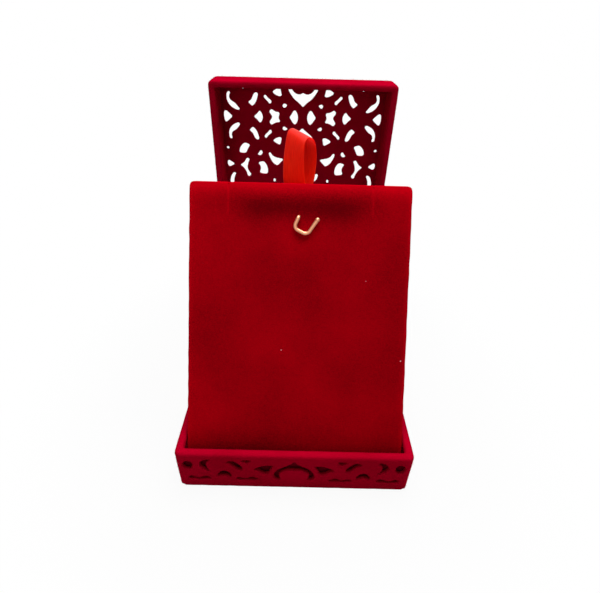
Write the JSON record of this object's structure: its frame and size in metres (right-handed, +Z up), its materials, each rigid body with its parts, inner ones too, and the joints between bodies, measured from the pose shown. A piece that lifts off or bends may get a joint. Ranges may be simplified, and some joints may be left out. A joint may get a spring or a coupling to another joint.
{
  "type": "jewellery presentation box",
  "caption": "Red flocked gift box with cut-work lid and tray walls, a hinged lid and a fold-down velvet display card with a gold pendant hook and a ribbon pull.",
  "frame": {"origin": "middle of the tray's underside", "axes": "+Z up, +X across to the right as seen from the front, +Y from the front wall to the hinge"},
  "size_m": [0.0712, 0.1024, 0.1062],
  "materials": {
    "flock": "matte",
    "velvet": "matte",
    "board": "matte",
    "backing_paper": "matte",
    "satin": "satin",
    "gold_wire": "polished",
    "pin_steel": "brushed"
  },
  "bodies": {
    "tray": {"base_frame": "flock", "base_liner": "flock", "base_bottom": "backing_paper", "base_floor_pad": "flock", "crease_cloth": "velvet", "card_flange": "backing_paper", "card_rest": "flock", "hinge_pin": "pin_steel"},
    "lid": {"lid_frame": "flock", "lid_panel": "flock"},
    "card": {"card_velvet": "velvet", "card_board": "board", "card_backing": "backing_paper", "pendant_hook": "gold_wire", "pull_ribbon": "satin", "ribbon_patch": "backing_paper"}
  },
  "joints": [
    {"name": "card_fold", "type": "hinge", "parent": "tray", "child": "card", "pos_m": [0, -0.042, 0.0106], "axis": [-1, 0, 0], "range_deg": [0, 62.8], "deforming": ["pull_ribbon"]},
    {"name": "lid_hinge", "type": "hinge", "parent": "tray", "child": "lid", "pos_m": [0, 0.045, 0.016], "axis": [1, 0, 0], "range_deg": [0, 88.9]}
  ],
  "couplings": [
    {"joint": "lid_hinge", "follows": "card_fold", "ratio": 1.0334}
  ]
}
